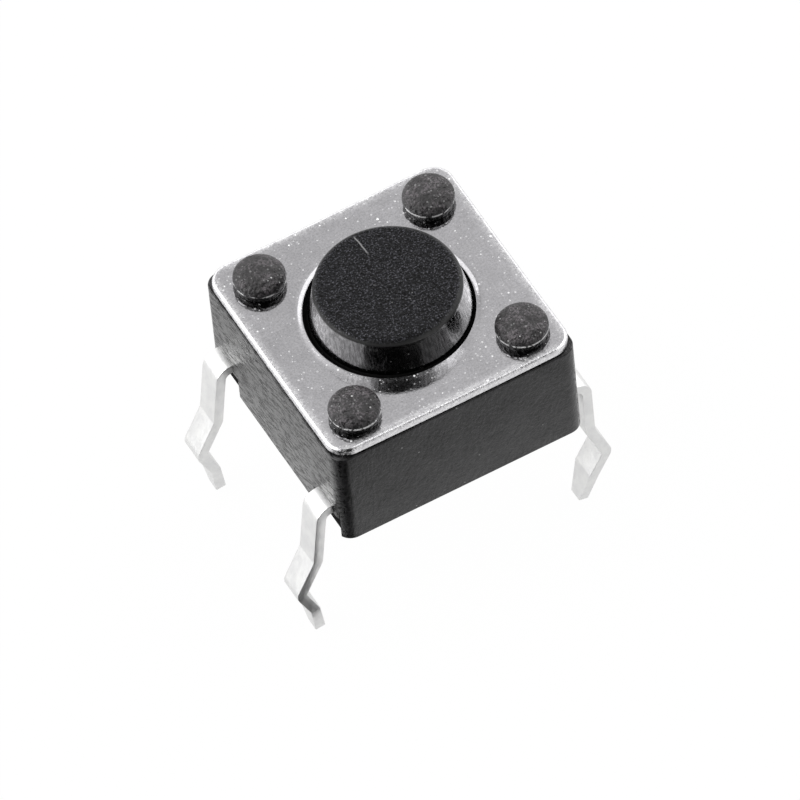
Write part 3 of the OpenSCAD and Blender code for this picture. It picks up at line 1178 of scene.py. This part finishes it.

# %% [markdown]
# ### Bright cover
#
# The cover is nickel-plated sheet. It mirrors the button and the heads softly. Plating leaves pale
# specks, a few dark pits and a faint mottle. The rolled edges are the roughest, and their paler colour is
# partly a painted highlight. Pale painted glints sit on the lip round the middle hole.

# %% Zones of the cover
bright_sheet, tree, shader, place = new_material("bright_sheet")
reach = from_axis(tree, place)
from_crest = math_node(tree, "ABSOLUTE", math_node(tree, "SUBTRACT", reach, HOLE_R + 0.02))
crest = ramp(tree, from_crest, 0.07, 0.03)
band = grouped(tree, edge_band, place, Half_Width=cover_half - 0.02, Band=0.28)
fine_mask = noise_of(tree, place, 17.0, 3.0, 0.7)
# Partly a painted highlight: near the rolled edges the sheet is rougher, and also painted paler and less
# metallic.
rough_band_and_highlight = times(tree, band, ramp(tree, fine_mask, 0.4, 0.6))
# Painted highlights: pale glints on the crest of the lip round the middle hole.
crest_glints = grouped(tree, dust, place, Scale=11.0, Size=0.4, Share=0.3)

# %% Bright cover
mottle = noise_of(tree, place, 2.2, 4.0, 0.6)
salt = noise_of(tree, place, 20.0, 3.0, 0.8)
roll_lines = grouped(tree, streaks, place, Stretch=(2.0, 22.0, 4.0), Turn=(0.0, 0.0, 0.35), Sharpness=0.6)
pale = grouped(tree, dust, place, Scale=7.0, Size=0.26, Share=0.3)
frost = times(tree, grouped(tree, dust, place, Scale=15.0, Size=0.5, Share=0.3), 0.38)
pale = math_node(tree, "MAXIMUM", pale, frost)
# The pale mask holds real dust specks and frost, and the painted glints on the lip's crest.
pale = math_node(tree, "MAXIMUM", pale, times(tree, crest_glints, crest))
dark_pits = grouped(tree, dust, place, Scale=11.0, Size=0.28, Share=0.16)
fine_plate = grouped(tree, grain, place, Scale=24.0, Pits=0.3)
tint = (1, 0.985, 1.02)
sheet = layered(
    tree,
    grey(0.69, tint),
    (ramp(tree, mottle, 0.3, 0.7), grey(0.77, tint)),
    (ramp(tree, salt, 0.4, 0.62, 0.0, 0.32), grey(0.3)),
    (times(tree, dark_pits, 0.35), grey(0.25)),
    (times(tree, rough_band_and_highlight, 0.6), grey(0.95)),
    (pale, grey(0.95)),
)
rough = math_node(tree, "ADD", ramp(tree, roll_lines, 0, 1, 0.07, 0.12), times(tree, band, 0.14))
dull_share = math_node(tree, "MAXIMUM", pale, times(tree, rough_band_and_highlight, 0.4))
feed(
    shader,
    Base_Color=sheet,
    Metallic=math_node(tree, "SUBTRACT", 1.0, times(tree, dull_share, 0.8)),
    Roughness=math_node(tree, "ADD", rough, times(tree, pale, 0.5)),
)
band_depth = times(tree, fine_plate, ramp(tree, band, 0, 1, 0.08, 1.0))
bump(shader, (mottle, 0.004), (band_depth, 0.005))

# %% [markdown]
# ### Tinned legs and spring steel
#
# Matt tin makes the legs almost white. The dome inside is plain spring steel.

# %% Tinned legs
matt_tin, tree, shader, place = new_material("matt_tin")
dull = noise_of(tree, place, 3.5, 3.0)
tin_grain = grouped(tree, grain, place, Scale=16.0, Pits=0.3)
drawn = grouped(tree, streaks, place, Stretch=(6.0, 30.0, 3.0), Sharpness=0.6)
feed(
    shader,
    Base_Color=mix_colour(tree, ramp(tree, dull, 0.3, 0.7), grey(0.77), grey(0.84, (1, 1, 0.99))),
    Metallic=0.9,
    Roughness=ramp(tree, drawn, 0, 1, 0.32, 0.45),
)
bump(shader, (dull, 0.006), (tin_grain, 0.003))

# %% Spring steel
spring_steel, tree, shader, place = new_material("spring_steel")
reach = from_axis(tree, place)
coined = noise_of(tree, place, 6.0, 3.0)
tint = (1, 0.97, 0.9)
feed(
    shader,
    Base_Color=mix_colour(tree, ramp(tree, coined, 0.3, 0.7), grey(0.5, tint), grey(0.6, tint)),
    Metallic=1.0,
    Roughness=ramp(tree, reach, 0.2, 0.5, 0.4, 0.22),
)
bump(shader, (coined, 0.003))

# %% [markdown]
# ## Floor, world and lamps
#
# The floor is a plain pale sheet under the legs. Seen directly it is almost its own white, so the
# background is even, and a small share of real shading keeps the soft shadow under the part. Reflections
# see it pale too, but with a painted shadow beyond the moulding's near left corner: a dark patch that
# only reflections see, standing in for the part's shadow there.

# %% Floor
FLOOR_HALF = 600.0
FLOOR_GAP = 0.01
OWN_SHARE = 0.985
# Painted shadow: a dark patch on the floor beyond the moulding's near left corner, seen only in
# reflections.
SHADOW_PATCH_WAY = (-0.707, -0.707, 0)
SHADOW_PATCH_TONE = 0.02
PAPER_TONE = 0.85
WHITE = (1, 1, 1, 1)

bm = bmesh.new()
bmesh.ops.create_grid(bm, x_segments=1, y_segments=1, size=FLOOR_HALF)
bmesh.ops.translate(bm, verts=bm.verts, vec=(0, 0, cad_low.z / MM - FLOOR_GAP))
floor = new_object("floor", bm)
floor.data.transform(Matrix.Scale(MM, 4))

paper = bpy.data.materials.new("paper")
paper.use_nodes = True
tree = paper.node_tree
tree.nodes.clear()
sees = add(tree, "ShaderNodeLightPath")
direct = times(tree, sees.outputs["Is Camera Ray"], OWN_SHARE)
mirrored = math_node(tree, "MAXIMUM", sees.outputs["Is Glossy Ray"], sees.outputs["Is Transmission Ray"])
spot = add(tree, "ShaderNodeTexCoord")
near_corner = (-body_half * MM, -body_half * MM, cad_low.z - FLOOR_GAP * MM)
from_corner = vector_node(tree, "SUBTRACT", spot.outputs["Object"], near_corner)
# Painted shadow: reflections see the floor dark in this patch beyond the near left corner.
shadow_patch = around(tree, vector_node(tree, "NORMALIZE", from_corner), SHADOW_PATCH_WAY, 56, 44)
mirror_tone = mix_colour(tree, shadow_patch, grey(PAPER_TONE), grey(SHADOW_PATCH_TONE))
whitened = math_node(tree, "MAXIMUM", direct, mirrored)
own_tone = mix_colour(tree, mirrored, WHITE, mirror_tone)
own = add(tree, "ShaderNodeEmission", {"Color": own_tone, "Strength": 1.0})
lit = add(tree, "ShaderNodeBsdfDiffuse", {"Color": grey(PAPER_TONE)})
front = add(tree, "ShaderNodeMixShader", {0: whitened, 1: lit, 2: own})
seen_from_below = add(tree, "ShaderNodeNewGeometry")
clear = add(tree, "ShaderNodeBsdfTransparent")
sheet = add(tree, "ShaderNodeMixShader", {
    0: seen_from_below.outputs["Backfacing"],
    1: front,
    2: clear,
})
add(tree, "ShaderNodeOutputMaterial", {"Surface": sheet})
floor.data.materials.append(paper)

# %% [markdown]
# The world is a soft tent, paler at the horizon, with a bright backdrop low behind the part and a glow
# on the left. A hood round the camera and its stand below are dark: the front of the button and the
# cover's near corner mirror them. Seen directly the world is white.

# %% World
LEFT_WAY = Vector((-0.728, 0.237, 0.643))
RIGHT_WAY = Vector((0.705, -0.05, 0.707))
BACKDROP_TONE = 0.65
GLOW_TONE = 0.35

world = bpy.data.worlds.new("tent")
bpy.context.scene.world = world
world.use_nodes = True
tree = world.node_tree
tree.nodes.clear()
where = add(tree, "ShaderNodeTexCoord")
way = vector_node(tree, "NORMALIZE", where.outputs["Generated"])
parts = split(tree, way)
rise = parts["Z"]
tent = mix_colour(tree, ramp(tree, rise, 0.0, 1.0), grey(0.9), grey(0.42))
backdrop = times(tree, ramp(tree, rise, 0.715, 0.66), ramp(tree, parts["Y"], -0.1, 0.3), BACKDROP_TONE)
tent = mix_colour(tree, 1.0, tent, backdrop, "ADD")
glow = around(tree, way, LEFT_WAY, 80, 30, GLOW_TONE)
tent = mix_colour(tree, 1.0, tent, glow, "ADD")
hood = around(tree, way, back, 31, 27)
ahead = Vector((back.x, back.y, 0)).normalized()
stand = around(tree, vector_node(tree, "NORMALIZE", levelled(tree, way)), ahead, 36, 30)
stand = times(tree, stand, ramp(tree, rise, 0.85, 0.75))
tent = mix_colour(tree, math_node(tree, "MAXIMUM", hood, stand), tent, grey(0.002))
sees = add(tree, "ShaderNodeLightPath")
seen = mix_colour(tree, sees.outputs["Is Camera Ray"], tent, WHITE)
sky = add(tree, "ShaderNodeBackground", {"Color": seen, "Strength": 1.0})
add(tree, "ShaderNodeOutputWorld", {"Surface": sky})

# %% Lamps
LAMP_DISTANCE = 300.0
LEFT_WIDTH, LEFT_RADIANCE = 390.0, 2.0
RIGHT_WIDTH, RIGHT_RADIANCE = 319.0, 1.9


def softbox(name, way, width, radiance):
    """A round lamp that faces the part. Its power follows from how bright its face is."""
    data = bpy.data.lights.new(name, "AREA")
    data.shape = "DISK"
    data.size = width * MM
    data.energy = radiance * math.pi * math.pi * (data.size / 2) ** 2
    lamp = in_scene(name, data)
    lamp.location = way.normalized() * LAMP_DISTANCE * MM
    lamp.rotation_mode = "QUATERNION"
    lamp.rotation_quaternion = way.to_track_quat("Z", "Y")
    lamp.visible_camera = False
    print(f"{name}: {data.energy:.3f} W")


softbox("left_softbox", LEFT_WAY, LEFT_WIDTH, LEFT_RADIANCE)
softbox("right_softbox", RIGHT_WAY, RIGHT_WIDTH, RIGHT_RADIANCE)

# %% [markdown]
# ## Bodies
#
# Each piece rides on a body of the engineering model, so it moves as the real one does. Only the button
# moves. The dome stays with the moulding.

for piece, finish, body, slot_name, node in (
    (moulding, black_moulding, HOUSING, "moulding", "base"),
    (stake_heads, formed_plastic, HOUSING, "moulding", "base"),
    (cover, bright_sheet, HOUSING, "cover_sheet", "cover"),
    (button, button_plastic, BUTTON, "button", "plunger"),
    (dome, spring_steel, HOUSING, "spring_sheet", "contact_dome"),
    (outer_strip, matt_tin, HOUSING, "terminal", "outer_terminal"),
    (centre_strip, matt_tin, HOUSING, "terminal", "centre_terminal"),
):
    piece.data.materials.clear()
    piece.data.materials.append(finish)
    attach(piece, body)
    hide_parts(node)
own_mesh(dome)
